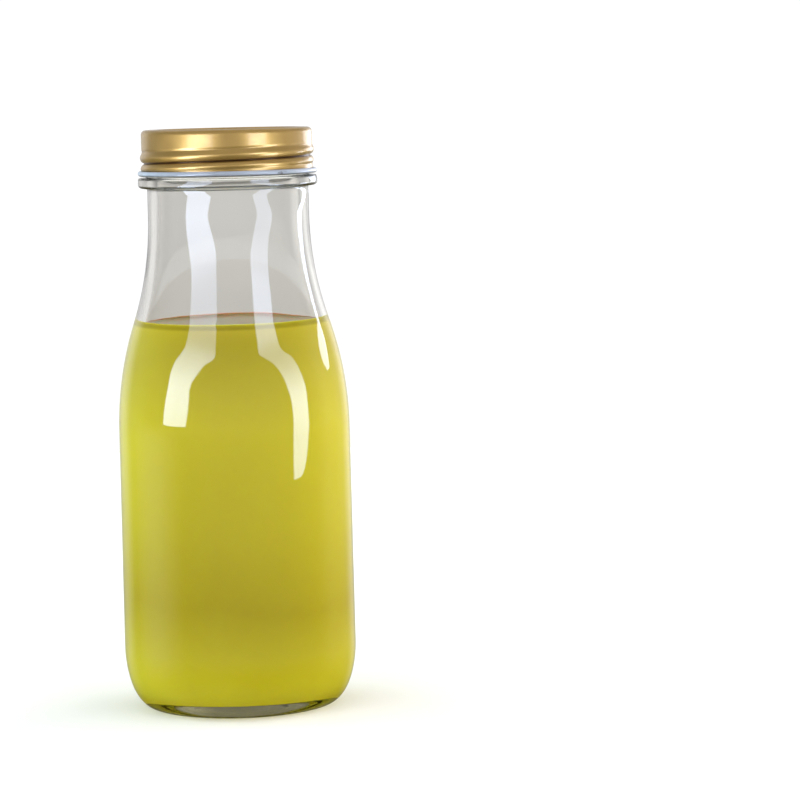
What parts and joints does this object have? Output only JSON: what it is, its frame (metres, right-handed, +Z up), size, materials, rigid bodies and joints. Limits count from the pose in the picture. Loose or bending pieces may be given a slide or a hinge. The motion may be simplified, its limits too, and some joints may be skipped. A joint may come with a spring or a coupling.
{
  "type": "glass milk bottle with screw cap",
  "caption": "Round clear glass milk bottle with a long sloping shoulder, screw cap of gold sheet metal, foam sealing disc and a drink inside.",
  "frame": {"origin": "middle of the foot, on the surface that the bottle stands on", "axes": "+Z up the bottle's axis, -Y towards the viewer in front of it, +X to the viewer's right"},
  "size_m": [0.06, 0.06, 0.1489],
  "materials": {
    "clear_glass": "clear polished soda-lime glass",
    "drink": "cloudy yellow-green liquid",
    "gold_lacquer": "satin gold lacquer on tinplate, white enamel inside and on the rolled edge",
    "disc_foam": "white closed-cell foam with a smooth skin"
  },
  "bodies": {
    "bottle": {"glass_bottle": "clear_glass", "drink": "drink"},
    "seal": {"sealing_disc": "disc_foam"},
    "cap": {"cap_shell": "gold_lacquer"}
  },
  "joints": [
    {"name": "cap_lift", "type": "slide", "parent": "bottle", "child": "seal", "axis": [0, 0, 1], "range_m": [0, 0.0151]},
    {"name": "cap_turn", "type": "hinge", "parent": "seal", "child": "cap", "pos_m": [0, 0, 0.1472], "axis": [0, 0, 1], "range_deg": [0, 1800]}
  ],
  "couplings": [
    {"joint": "cap_lift", "follows": "cap_turn", "m_per_rad": 0.00047746}
  ]
}
